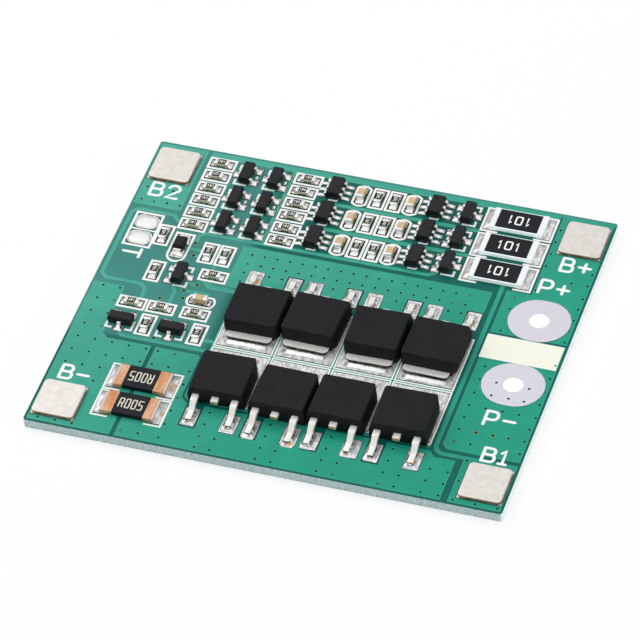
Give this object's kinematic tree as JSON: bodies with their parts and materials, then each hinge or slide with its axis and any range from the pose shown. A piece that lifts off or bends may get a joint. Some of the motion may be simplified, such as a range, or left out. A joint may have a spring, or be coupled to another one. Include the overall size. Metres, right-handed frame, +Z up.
{
  "type": "battery management board",
  "caption": "Flat rectangular circuit board that protects and balances a small lithium pack, with square corner weld tabs, ringed wire holes and rows of flat transistors.",
  "frame": {"origin": "centre of the board's flat underside", "axes": "+Z up out of the fitted face, +X along the long edge towards the wire holes, +Y towards the chip rows"},
  "size_m": [0.055, 0.046, 0.0034],
  "materials": {
    "board_core": "pale glass and resin laminate, rough where it was cut",
    "mask_dark": "green mask over bare laminate, satin",
    "mask_light": "green mask over copper, satin",
    "tinned": "solder coated copper, bright",
    "tinned_ring": "levelled solder, satin",
    "print": "white board ink, matt",
    "bare_copper": "bare via ring, dull",
    "nickel": "nickel weld tab, satin",
    "mould": "black epoxy moulding, matt",
    "small_mould": "black epoxy moulding, matt",
    "leg_tin": "tinned legs and tab, satin",
    "white_ceramic": "white alumina, matt",
    "resistor_coat": "black overglaze, satin",
    "shunt_copper": "bare copper alloy ends, satin",
    "chip_ceramic": "grey white alumina, matt",
    "capacitor_body": "tan ceramic, matt"
  },
  "bodies": {
    "root": {"board_core": "board_core", "solder_mask": "mask_dark", "masked_copper": "mask_light", "bare_pads": "tinned", "silkscreen": "print", "via_rings": "bare_copper", "p_plus_ring": "tinned_ring", "p_minus_ring": "tinned_ring", "tab_b_minus": "nickel", "tab_b1": "nickel", "tab_b2": "nickel", "tab_b_plus": "nickel", "mosfet_body_1": "mould", "mosfet_body_2": "mould", "mosfet_body_3": "mould", "mosfet_body_4": "mould", "mosfet_body_5": "mould", "mosfet_body_6": "mould", "mosfet_body_7": "mould", "mosfet_body_8": "mould", "mosfet_legs_1": "leg_tin", "mosfet_legs_2": "leg_tin", "mosfet_legs_3": "leg_tin", "mosfet_legs_4": "leg_tin", "mosfet_legs_5": "leg_tin", "mosfet_legs_6": "leg_tin", "mosfet_legs_7": "leg_tin", "mosfet_legs_8": "leg_tin", "bleed_ceramics": "white_ceramic", "bleed_coats": "resistor_coat", "bleed_terminals": "tinned", "shunt_bodies": "resistor_coat", "shunt_terminals": "shunt_copper", "protection_ic_1": "small_mould", "protection_ic_2": "small_mould", "protection_ic_3": "small_mould", "protection_ic_legs": "leg_tin", "balance_ic_1": "small_mould", "balance_ic_2": "small_mould", "balance_ic_3": "small_mould", "balance_ic_legs": "leg_tin", "sense_transistors": "small_mould", "sense_transistor_legs": "leg_tin", "shift_transistors": "small_mould", "shift_transistor_legs": "leg_tin", "bleed_transistors": "small_mould", "bleed_transistor_legs": "leg_tin", "driver_transistors": "small_mould", "driver_transistor_legs": "leg_tin", "diode_body": "mould", "diode_legs": "leg_tin", "resistor_ceramics": "chip_ceramic", "resistor_coats": "resistor_coat", "resistor_terminals": "tinned", "capacitor_bodies": "capacitor_body", "capacitor_terminals": "tinned"}
  },
  "joints": []
}
